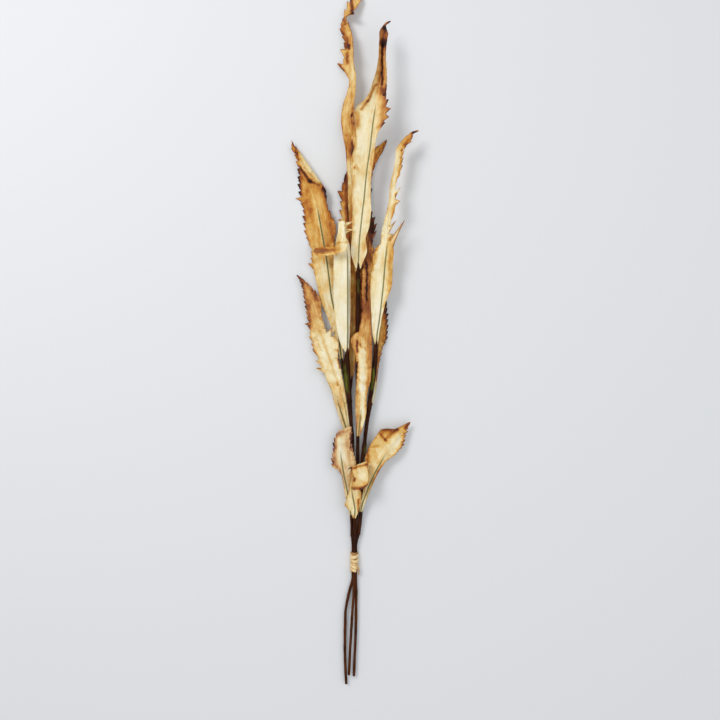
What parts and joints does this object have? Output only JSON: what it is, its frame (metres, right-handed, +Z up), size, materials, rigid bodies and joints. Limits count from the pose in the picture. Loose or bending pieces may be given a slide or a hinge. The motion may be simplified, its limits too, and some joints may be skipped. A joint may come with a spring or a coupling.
{
  "type": "dried fern frond",
  "caption": "Bunch of dried leafy stems with toothed, curled leaves, bound near the cut ends with raffia and lying flat.",
  "frame": {"origin": "middle of the bunch's bounding box, on the surface it lies on", "axes": "+Y along the stems from the cut ends to the leaf tips, +Z up, +X to the right with the tips away from the viewer"},
  "size_m": [0.1662, 0.9257, 0.0428],
  "materials": {
    "stem_left": "satin",
    "stem_middle": "satin",
    "stem_right": "satin",
    "leaf_left_front": "matte",
    "leaf_left_outer": "matte",
    "leaf_left_inner": "matte",
    "leaf_left_lower": "matte",
    "leaf_left_short": "matte",
    "leaf_left_lowest": "matte",
    "leaf_middle_front": "matte",
    "leaf_middle_tall": "matte",
    "leaf_middle_rear": "matte",
    "leaf_middle_lower": "matte",
    "leaf_middle_lowest": "matte",
    "leaf_right_front": "matte",
    "leaf_right_short": "matte",
    "leaf_right_lowest": "matte",
    "tie": "matte"
  },
  "bodies": {
    "root": {"stem_left": "stem_left", "stem_middle": "stem_middle", "stem_right": "stem_right", "leaf_left_front": "leaf_left_front", "leaf_left_outer": "leaf_left_outer", "leaf_left_inner": "leaf_left_inner", "leaf_left_lower": "leaf_left_lower", "leaf_left_short": "leaf_left_short", "leaf_left_lowest": "leaf_left_lowest", "leaf_middle_front": "leaf_middle_front", "leaf_middle_tall": "leaf_middle_tall", "leaf_middle_rear": "leaf_middle_rear", "leaf_middle_lower": "leaf_middle_lower", "leaf_middle_lowest": "leaf_middle_lowest", "leaf_right_front": "leaf_right_front", "leaf_right_short": "leaf_right_short", "leaf_right_lowest": "leaf_right_lowest", "tie": "tie"}
  },
  "joints": []
}
